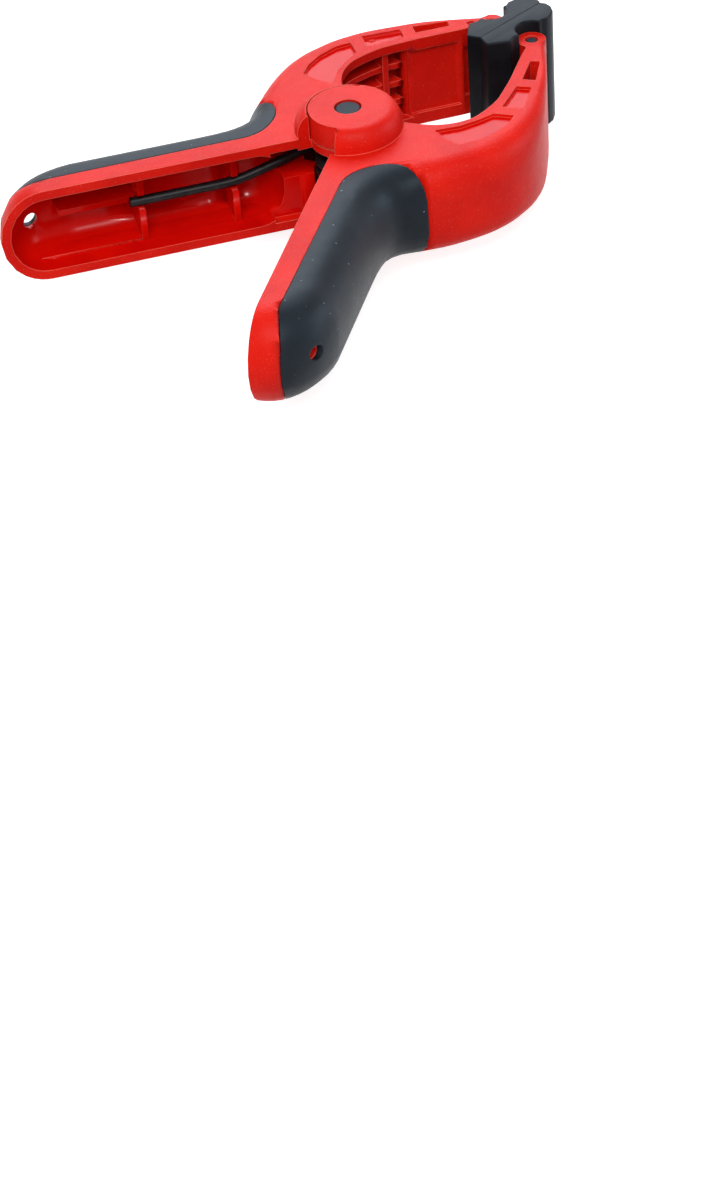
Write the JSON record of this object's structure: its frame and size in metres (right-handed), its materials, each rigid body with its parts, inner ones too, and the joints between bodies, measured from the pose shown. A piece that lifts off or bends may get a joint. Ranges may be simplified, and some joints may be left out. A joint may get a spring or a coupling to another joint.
{
  "type": "spring clamp",
  "caption": "Moulded spring clamp with soft handle grips, swivelling jaw pads and a coiled torsion spring closing the jaws on one pivot pin.",
  "frame": {"origin": "bottom centre of the bounding box, with the clamp lying on its lower boss", "axes": "+Z along the pivot pin, +X towards the jaw tips, +Y towards the rear arm"},
  "size_m": [0.17, 0.115, 0.0414],
  "materials": {
    "arm_plastic_rear": "fine moulded texture",
    "arm_plastic_front": "fine moulded texture",
    "grip_rubber_rear": "matte",
    "grip_rubber_front": "matte",
    "pad_plastic_rear": "matte",
    "pad_plastic_front": "matte",
    "pad_pin_steel_rear": "dark",
    "pad_pin_steel_front": "dark",
    "pivot_pin_steel": "dark",
    "spring_steel": "black semi-gloss"
  },
  "bodies": {
    "rear_arm": {"lever_arm_rear": "arm_plastic_rear", "grip_rear": "grip_rubber_rear", "pivot_pin": "pivot_pin_steel", "pad_pin_rear": "pad_pin_steel_rear", "torsion_spring": "spring_steel"},
    "front_arm": {"lever_arm_front": "arm_plastic_front", "grip_front": "grip_rubber_front", "pad_pin_front": "pad_pin_steel_front"},
    "rear_pad": {"jaw_pad_rear": "pad_plastic_rear"},
    "front_pad": {"jaw_pad_front": "pad_plastic_front"}
  },
  "joints": [
    {"name": "jaw_opening", "type": "hinge", "parent": "rear_arm", "child": "front_arm", "pos_m": [0.00398, 0, 0.0207], "axis": [0, 0, -1], "range_deg": [0, 46], "stiffness_Nm_per_rad": 2.4, "springref_deg": -51.57, "deforming": ["torsion_spring"]},
    {"name": "rear_pad_swivel", "type": "hinge", "parent": "rear_arm", "child": "rear_pad", "pos_m": [0.07128, 0.008, 0.0207], "axis": [0, 0, -1], "range_deg": [0, 20]},
    {"name": "front_pad_swivel", "type": "hinge", "parent": "front_arm", "child": "front_pad", "pos_m": [0.07128, -0.008, 0.0207], "axis": [0, 0, 1], "range_deg": [0, 20]}
  ],
  "couplings": [
    {"joint": "rear_pad_swivel", "follows": "jaw_opening", "ratio": 0.4},
    {"joint": "front_pad_swivel", "follows": "jaw_opening", "ratio": 0.4}
  ]
}
